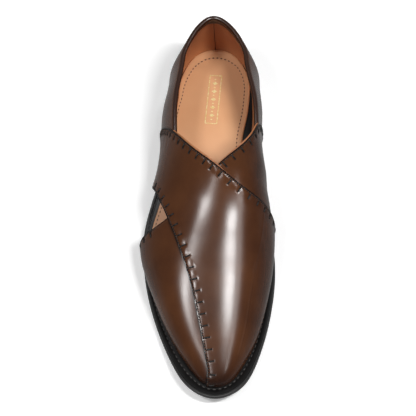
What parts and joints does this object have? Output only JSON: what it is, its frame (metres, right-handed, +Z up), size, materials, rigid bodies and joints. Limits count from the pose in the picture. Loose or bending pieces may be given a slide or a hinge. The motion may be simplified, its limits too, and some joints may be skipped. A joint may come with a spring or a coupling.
{
  "type": "closed-toe leather sandal",
  "caption": "Right closed-toe Peshawari chappal: crossed leather straps meet in a toe seam over a closed heel, on a welted sole with a low heel block",
  "frame": {"origin": "middle of the heel block's flat bottom, on the floor", "axes": "toe towards -Y, heel towards +Y, lateral side -X, medial side +X, +Z up"},
  "size_m": [0.1038, 0.2953, 0.0879],
  "materials": {
    "upper leather": "polished dark chestnut",
    "insole leather": "satin tan",
    "welting": "satin black",
    "outsole rubber": "satin black",
    "heel rubber": "satin black"
  },
  "bodies": {
    "root": {"upper": "upper leather", "insole": "insole leather", "welt": "welting", "outsole": "outsole rubber", "heel": "heel rubber"}
  },
  "joints": []
}
